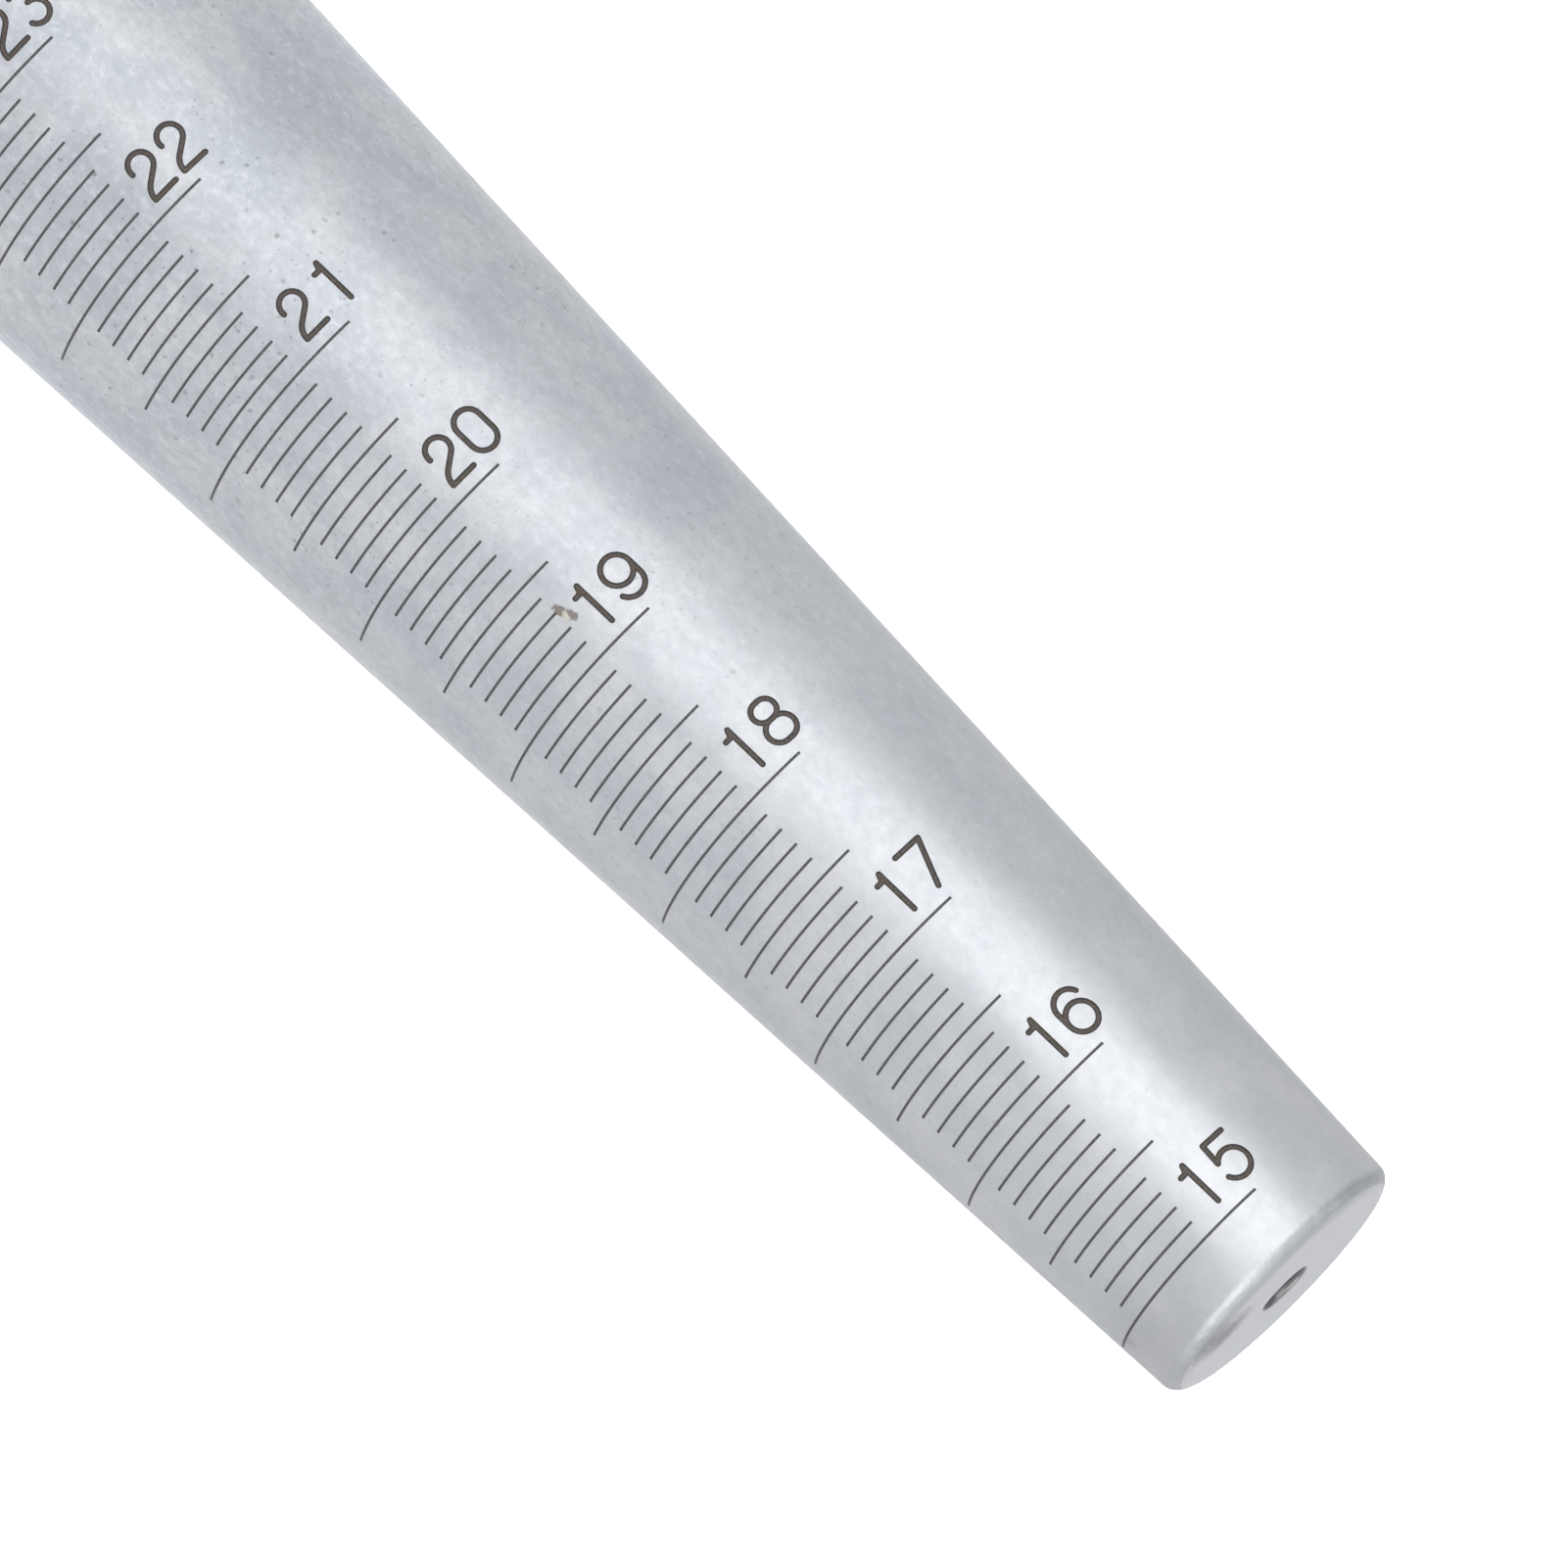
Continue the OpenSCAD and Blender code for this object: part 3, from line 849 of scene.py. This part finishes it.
class Finish(Nodes):
    """One procedural material. Its patterns are in the object's own space, with sizes in millimetres."""

    def __init__(self, name, metallic, roughness):
        self.material = bpy.data.materials.new(name)
        self.material.use_nodes = True
        super().__init__(self.material.node_tree)
        self.shader = self.tree.nodes["Principled BSDF"]
        self.shader.inputs["Metallic"].default_value = metallic
        self.shader.inputs["Roughness"].default_value = roughness
        self.where = self.tree.nodes.new("ShaderNodeTexCoord").outputs["Object"]
        self.height = self.node("SeparateXYZ", Vector=self.where).outputs["Z"]

    def space(self, size, shift, stretch=(1, 1, 1)):
        """Coordinates whose unit is the size in millimetres, times the stretch along each axis."""
        scale = [1 / (MM * size * s) for s in stretch]
        place = (shift, shift, shift)
        return self.node("Mapping", Vector=self.where, Location=place, Scale=scale).outputs[0]

    def noise(self, vector, detail, rough, warp=0):
        made = self.node("TexNoise", Vector=vector, Scale=1, Detail=detail, Roughness=rough)
        made.inputs["Distortion"].default_value = warp
        return made.outputs[0]

    def cloud(self, size, stretch=(1, 1, 1), detail=3, rough=0.5, shift=0, warp=0):
        """Soft noise from 0 to 1 with features of about the given size."""
        return self.noise(self.space(size, shift, stretch), detail, rough, warp)

    def radius(self):
        """Distance from the object's axis."""
        flat = self.node("Mapping", Vector=self.where, Scale=(1, 1, 0)).outputs[0]
        return self.node("VectorMath", {"operation": "LENGTH"}, Vector=flat).outputs["Value"]

    def turning(self, size, detail=2, rough=0.5):
        """Noise that is the same all the way round the axis, as a lathe tool leaves it."""
        place = self.node("CombineXYZ", X=self.radius(), Y=self.height).outputs[0]
        scale = [1 / (MM * size)] * 3
        return self.noise(self.node("Mapping", Vector=place, Scale=scale).outputs[0], detail, rough)

    def blend(self, amount, a, b):
        """Colour a, turning to colour b as amount goes from 0 to 1."""
        made = self.tree.nodes.new("ShaderNodeMix")
        made.data_type = "RGBA"
        self.feed(made.inputs[0], amount)
        self.feed(made.inputs[6], a)
        self.feed(made.inputs[7], b)
        return made.outputs[2]

    def specks(self, spacing, radius, share, shift=0):
        """A mask of ragged specks: at most one in each cell of the spacing, in a share of the cells."""
        reach = radius / spacing
        torn = self.node("TexNoise", Vector=self.space(radius, shift), Scale=1, Detail=2)
        moved = self.node("VectorMath", {"operation": "MULTIPLY_ADD"}, Vector=torn.outputs["Color"])
        moved.inputs[1].default_value = [1.6 * reach] * 3
        self.feed(moved.inputs[2], self.space(spacing, shift))
        cells = self.node("TexVoronoi", Vector=moved.outputs[0], Scale=1)
        near = self.remap(cells.outputs["Distance"], reach, reach * 0.5)
        chosen = self.node("SeparateColor", Color=cells.outputs["Color"]).outputs[0]
        return self.both(near, self.math("GREATER_THAN", chosen, 1 - share))

    def spot(self, place, size, ragged, core=0.4):
        """A ragged mask of one spot of about the given size in millimetres, full within its core."""
        scale = [1 / (MM * s) for s in size]
        offset = self.node("VectorMath", {"operation": "SUBTRACT"}, Vector=self.where)
        offset.inputs[1].default_value = place
        scaled = self.node("Mapping", Vector=offset.outputs[0], Scale=scale).outputs[0]
        distance = self.node("VectorMath", {"operation": "LENGTH"}, Vector=scaled).outputs["Value"]
        uneven = self.remap(self.cloud(0.25, rough=0.7), 0.3, 0.7, -ragged, ragged)
        return self.remap(self.math("ADD", distance, uneven), 0.55, core)

    def bump(self, height, depth, below=None):
        """A bump of the given depth in millimetres, on top of another bump."""
        made = self.node("Bump", Height=height, Strength=1.0, Distance=depth * MM)
        if below is not None:
            self.feed(made.inputs["Normal"], below)
        return made.outputs[0]

    def paint(self, colour, roughness=None, normal=None):
        """Connects what is given to the shader. Returns the finished material."""
        for name, value in (("Base Color", colour), ("Roughness", roughness), ("Normal", normal)):
            if value is not None:
                self.feed(self.shader.inputs[name], value)
        return self.material


def grey(level, blue=0.0):
    """A grey of the given level, tinted blue by the given amount."""
    return (level - blue, level, level + blue * 1.3, 1)


def taper_steel():
    """Ground stainless steel, mottled, pitted and scratched, and more so towards the thick end."""
    f = Finish("taper_steel", 1.0, 0.45)
    f.shader.inputs["Specular Tint"].default_value = (0.77, 0.77, 0.77, 1)
    worn = f.remap(f.height, TIP_Z - 10 * MM, TIP_Z - 75 * MM, 0.3, 1)
    clouds = f.cloud(3.6, (1, 1, 1.5), detail=5, rough=0.6, warp=0.2)
    mottle = f.cloud(0.5, (1, 1, 1.25), detail=4, rough=0.75, shift=4)
    smears = f.remap(f.cloud(0.7, (1, 1, 5), detail=4, rough=0.6, shift=3), 0.58, 0.74)
    patches = f.remap(f.cloud(7, detail=2, shift=6), 0.45, 0.62, 0.15, 1)
    pits = f.both(f.specks(0.62, 0.16, 0.22), patches, worn, worn)
    dots = f.both(f.specks(0.36, 0.08, 0.35, shift=5), patches, worn)
    hairs = f.remap(f.cloud(0.16, (1.2, 1, 8), detail=2, shift=7), 0.77, 0.83)
    steel = f.blend(worn, grey(0.575, 0.007), grey(0.535, 0.01))
    shade = f.blend(worn, grey(0.54, 0.007), grey(0.455, 0.026))
    colour = f.blend(f.remap(clouds, 0.38, 0.64), shade, steel)
    colour = f.blend(f.both(f.remap(mottle, 0.5, 0.66), worn, 0.45), colour, grey(0.41, 0.01))
    colour = f.blend(f.both(f.remap(mottle, 0.48, 0.34), worn, 0.45), colour, grey(0.65, 0.014))
    colour = f.blend(f.both(smears, worn, 0.35), colour, grey(0.37, 0.008))
    colour = f.blend(f.both(hairs, 0.4), colour, grey(0.7, 0.01))
    colour = f.blend(f.both(f.math("MAXIMUM", pits, dots), 0.55), colour, (0.13, 0.13, 0.14, 1))
    nick_ends = []
    for reach, back in ((1.78, 43.0), (2.04, 42.42)):
        place = on_taper(reach * MM, SMALL_MARK_Z - back * MM)
        nick_ends.append(f.spot(place, (0.48, 0.48, 0.72), 0.2))
    nick = f.math("MAXIMUM", *nick_ends)
    bare = f.spot(on_taper(1.84 * MM, SMALL_MARK_Z - 42.55 * MM), (0.3, 0.3, 0.5), 0.25)
    scuff = f.spot(on_taper(-6.6 * MM, SMALL_MARK_Z + 0.3 * MM), (0.9, 0.9, 0.7), 0.3)
    speck = f.spot(on_taper(-1.6 * MM, SMALL_MARK_Z - 11 * MM), (0.35, 0.35, 0.35), 0.2)
    # A broad darker patch on the taper beside the tip
    tip_dark_patch = f.spot(on_taper(-4.6 * MM, TIP_Z - 2 * MM), (9, 9, 8), 0.1, 0.05)
    colour = f.blend(f.both(f.math("MAXIMUM", scuff, speck), 0.4), colour, grey(0.3))
    colour = f.blend(f.both(tip_dark_patch, 0.3), colour, grey(0.3))
    colour = f.blend(f.both(nick, 0.8), colour, (0.16, 0.125, 0.1, 1))
    colour = f.blend(f.both(bare, 0.8), colour, (0.52, 0.5, 0.42, 1))
    rim = f.remap(f.height, TIP_Z - TIP_ROUND_H, TIP_Z - TIP_ROUND_H / 2)
    uneven = f.remap(mottle, 0.3, 0.7, -0.03, 0.05)
    rough = f.math("ADD", f.remap(clouds, 0.35, 0.7, 0.38, 0.48), uneven)
    rough = f.math("ADD", rough, f.both(rim, 0.12))
    swells = f.cloud(2.0, (1, 1, 1.3), detail=4, rough=0.6, shift=2)
    dings = f.remap(f.cloud(0.9, shift=8), 0.35, 0.65)
    grain = f.bump(f.cloud(0.12, rough=0.7), 0.0018)
    dents = f.bump(f.both(mottle, worn), 0.022, grain)
    waves = f.bump(f.both(swells, worn), 0.028, dents)
    holes = f.bump(f.math("MULTIPLY", f.math("MAXIMUM", pits, nick), -1.0), 0.02, waves)
    knocks = f.bump(f.both(dings, rim), 0.03, holes)
    return f.paint(colour, rough, knocks)


def end_face_shade(f, colour):
    """Paints shade inside the centre hole, darker with depth, and a painted dark reflection on the end
    face beside it.
    """
    inside = f.remap(f.radius(), CENTRE_MOUTH_R + 0.02 * MM, CENTRE_MOUTH_R - 0.03 * MM)
    deep = f.remap(f.height, TIP_Z, TIP_Z - 0.3 * MM)
    # A painted dark reflection on the end face beside the hole
    painted_dark_reflection = f.spot((2.2 * MM, -4.8 * MM, TIP_Z), (4.1, 4.1, 4.1), 0.12, 0.15)
    # Painted shade in the centre hole, darkest deepest in it
    colour = f.blend(inside, colour, f.blend(deep, grey(0.3), grey(0.1)))
    return f.blend(painted_dark_reflection, colour, grey(0.15))


def turned_steel(name, level, roughness, shade=None):
    """Steel as it leaves the lathe: faintly cloudy, with fine tool marks round the axis."""
    f = Finish(name, 1.0, roughness)
    lines = f.turning(0.05, detail=2, rough=0.6)
    bands = f.turning(0.6, detail=2)
    clouds = f.cloud(2.5, detail=4, rough=0.6)
    colour = f.blend(f.remap(clouds, 0.35, 0.65), grey(level - 0.02, 0.008), grey(level + 0.015, 0.01))
    colour = f.blend(f.both(f.remap(lines, 0.4, 0.62), 0.4), colour, grey(level - 0.15, 0.006))
    colour = f.blend(f.both(f.specks(1.6, 0.05, 0.2), 0.7), colour, grey(0.15))
    # Where a shade function is given, it paints shade into the colour
    if shade:
        colour = shade(f, colour)
    dull = f.remap(clouds, 0.3, 0.7, roughness, roughness + 0.08)
    rough = f.math("ADD", f.remap(lines, 0.3, 0.7, -0.04, 0.06), dull)
    tool_marks = f.bump(lines, 0.003, f.bump(bands, 0.006))
    return f.paint(colour, rough, tool_marks)


def knurled_steel():
    """The grip's steel: crests rubbed bright, grooves duller and darker with what collects in them."""
    f = Finish("grip_steel", 1.0, 0.4)
    rubbed = f.remap(f.radius(), GRIP_R - KNURL_DEPTH, GRIP_R - 0.04 * MM)
    clouds = f.cloud(1.6, detail=5, rough=0.65, warp=0.4)
    grime = f.both(f.remap(rubbed, 0.75, 0.1), f.remap(clouds, 0.3, 0.6, 0.5, 1))
    steel = f.blend(f.remap(clouds, 0.35, 0.65), grey(0.47, 0.008), grey(0.52, 0.01))
    colour = f.blend(grime, steel, (0.2, 0.19, 0.18, 1))
    lines = f.turning(0.06)
    rough = f.math("ADD", f.remap(rubbed, 0, 1, 0.55, 0.34), f.remap(clouds, 0.3, 0.7, -0.04, 0.06))
    grain = f.bump(f.cloud(0.1, rough=0.7), 0.003, f.bump(lines, 0.002))
    return f.paint(colour, rough, grain)


def blackened_steel():
    """Black oxide on the socket screw, a little worn."""
    f = Finish("blackened_steel", 0.85, 0.42)
    clouds = f.cloud(0.8, detail=4, rough=0.65)
    bare = f.remap(f.cloud(0.3, detail=4, rough=0.7, shift=2), 0.66, 0.74)
    colour = f.blend(f.remap(clouds, 0.35, 0.65), (0.028, 0.028, 0.03, 1), (0.06, 0.058, 0.058, 1))
    colour = f.blend(f.both(bare, 0.5), colour, grey(0.32))
    return f.paint(colour, f.remap(clouds, 0.3, 0.7, 0.36, 0.5), f.bump(f.turning(0.05), 0.003))


def spring_steel():
    """Zinc-plated spring steel, with the faint yellow of its passivation."""
    f = Finish("spring_steel", 1.0, 0.38)
    clouds = f.cloud(1.1, detail=4, rough=0.6)
    colour = f.blend(f.remap(clouds, 0.35, 0.65), (0.44, 0.43, 0.40, 1), (0.58, 0.57, 0.55, 1))
    return f.paint(colour, f.remap(clouds, 0.3, 0.7, 0.32, 0.46), f.bump(f.cloud(0.15), 0.003))


def ring_rubber():
    """Nitrile rubber: dull black with a fine moulded skin."""
    f = Finish("ring_rubber", 0.0, 0.62)
    skin = f.cloud(0.12, rough=0.6)
    dust = f.remap(f.cloud(0.9, detail=4, rough=0.65, shift=3), 0.5, 0.75)
    colour = f.blend(f.both(dust, 0.4), (0.018, 0.018, 0.019, 1), (0.06, 0.058, 0.055, 1))
    return f.paint(colour, f.remap(skin, 0.3, 0.7, 0.55, 0.7), f.bump(skin, 0.004))


def plug_plastic():
    """Moulded polyethylene with a fine sparked texture."""
    f = Finish("plug_plastic", 0.0, 0.5)
    spark = f.cloud(0.14, rough=0.6)
    clouds = f.cloud(1.5)
    colour = f.blend(f.remap(clouds, 0.35, 0.65), (0.014, 0.014, 0.015, 1), (0.026, 0.026, 0.027, 1))
    return f.paint(colour, f.remap(spark, 0.3, 0.7, 0.42, 0.6), f.bump(spark, 0.006))


def mark_oxide(name, dark, light):
    """Laser-darkened steel on the floor and walls of the marks."""
    f = Finish(name, 0.25, 0.62)
    burn = f.remap(f.cloud(0.12, detail=4, rough=0.7), 0.3, 0.7)
    colour = f.blend(burn, dark, light)
    return f.paint(colour, f.remap(burn, 0, 1, 0.7, 0.5), f.bump(burn, 0.01))


# ---- Camera, light and floor ----

CAMERA_AZIMUTH = math.radians(-18.56)
CAMERA_ELEVATION = math.radians(10.61)
CAMERA_ROLL = math.radians(134.68)
CAMERA_DISTANCE = 652 * MM
CAMERA_LENS = 310.9
CAMERA_AIM = Vector((-0.3 * MM, 0.1 * MM, TIP_Z - 34.5 * MM))


def direction(azimuth, elevation):
    """Unit vector away from the object. Azimuth 0 is towards -Y and 90 degrees towards +X."""
    flat = math.cos(elevation)
    return Vector((math.sin(azimuth) * flat, -math.cos(azimuth) * flat, math.sin(elevation)))


def make_camera():
    """A long lens aimed near the small end, rolled so that the taper lies aslant."""
    data = bpy.data.cameras.new("camera")
    data.lens = CAMERA_LENS
    data.sensor_width = 36
    data.clip_start = 0.01
    data.clip_end = 50
    camera = bpy.data.objects.new("camera", data)
    bpy.context.scene.collection.objects.link(camera)
    back = direction(CAMERA_AZIMUTH, CAMERA_ELEVATION)
    camera.location = CAMERA_AIM + back * CAMERA_DISTANCE
    level = (-back).to_track_quat("-Z", "Y")
    camera.rotation_mode = "QUATERNION"
    camera.rotation_quaternion = Matrix.Rotation(CAMERA_ROLL, 3, back).to_quaternion() @ level
    bpy.context.scene.camera = camera


def soft_light(name, aim, azimuth, elevation, distance, size, power, spread=180):
    """A softbox at a distance from the point it is aimed at, with its size across and up in metres."""
    data = bpy.data.lights.new(name, "AREA")
    data.shape = "RECTANGLE"
    data.size, data.size_y = size
    data.energy = power
    data.spread = math.radians(spread)
    light = bpy.data.objects.new(name, data)
    bpy.context.scene.collection.objects.link(light)
    back = direction(math.radians(azimuth), math.radians(elevation))
    light.location = aim + back * distance
    light.rotation_mode = "QUATERNION"
    light.rotation_quaternion = (-back).to_track_quat("-Z", "Y")
    light.visible_camera = False
    return light


def make_lights():
    """A key softbox beside the small end, two above it, and two that the steel doesn't reflect."""
    above = Vector((0, 0, 0.2))
    behind = direction(math.pi + CAMERA_AZIMUTH, 0) * 1.2
    away = 180 + math.degrees(CAMERA_AZIMUTH)
    overhead = 89.9
    soft_light("key", Vector((0, 0, 0.31)), -40.5, 0, 0.45, (0.43, 0.4), 0.72)
    soft_light("left_top", above, 25, 48, 1.2, (1.4, 1.0), 6.4)
    soft_light("right_top", above, -115, 58, 1.2, (1.0, 0.7), 1.2)
    backdrop = soft_light("backdrop", behind, away, overhead, 0.8, (0.34, 1.8), 6, 90)
    ceiling = soft_light("ceiling", Vector(), 0, overhead, 3, (12, 12), 110)
    backdrop.visible_glossy = False
    ceiling.visible_glossy = False


def make_world():
    """A pale room, dimmer overhead, with a dark flag aside that shades one side of the tip's edge."""
    world = bpy.data.worlds.new("studio")
    world.use_nodes = True
    n = Nodes(world.node_tree)
    where = n.node("TexCoord").outputs["Generated"]
    ray = n.node("SeparateXYZ", Vector=where)
    height = ray.outputs["Z"]
    dim = n.remap(height, 0.1, 0.8, 0.92, 0.8)
    aside = n.node("VectorMath", {"operation": "DOT_PRODUCT"}, Vector=where)
    aside.inputs[1].default_value = direction(CAMERA_AZIMUTH - math.pi / 2, 0)
    behind = n.remap(ray.outputs["Y"], -0.1, 0.1)
    tall = n.both(n.remap(height, 0.28, 0.42), n.remap(height, 0.9, 0.75))
    flag = n.both(n.remap(aside.outputs["Value"], 0.3, 0.5), behind, tall)
    shade = n.remap(flag, 0, 1, 1, 0.35)
    background = world.node_tree.nodes["Background"]
    background.inputs["Color"].default_value = (0.955, 0.965, 1.0, 1)
    n.feed(background.inputs["Strength"], n.both(dim, shade))
    bpy.context.scene.world = world


def make_floor():
    """A wide sheet of pale paper."""
    half = 6.0
    corners = [(-half, -half, 0), (half, -half, 0), (half, half, 0), (-half, half, 0)]
    mesh = bpy.data.meshes.new("floor")
    mesh.from_pydata(corners, [], [(0, 1, 2, 3)])
    f = Finish("floor_paper", 0.0, 0.8)
    tint = f.remap(f.cloud(60, detail=2), 0.3, 0.7)
    f.paint(f.blend(tint, (0.9, 0.9, 0.9, 1), (0.92, 0.92, 0.92, 1)))
    new_object("floor", mesh, f.material)


bpy.context.scene.view_settings.view_transform = "Standard"
make_camera()
make_lights()
make_world()
make_floor()
make_body(
    taper_steel(),
    # The end face, with painted shade in its centre hole and a painted dark reflection beside it
    turned_steel("turned_face", 0.585, 0.26, end_face_shade),
    mark_oxide("mark_line", (0.062, 0.06, 0.06, 1), (0.118, 0.113, 0.112, 1)),
    mark_oxide("mark_edge", (0.02, 0.017, 0.015, 1), (0.04, 0.034, 0.03, 1)),
    mark_oxide("mark_core", (0.045, 0.035, 0.029, 1), (0.1, 0.082, 0.07, 1)),
)
make_handle()
paint_hardware()
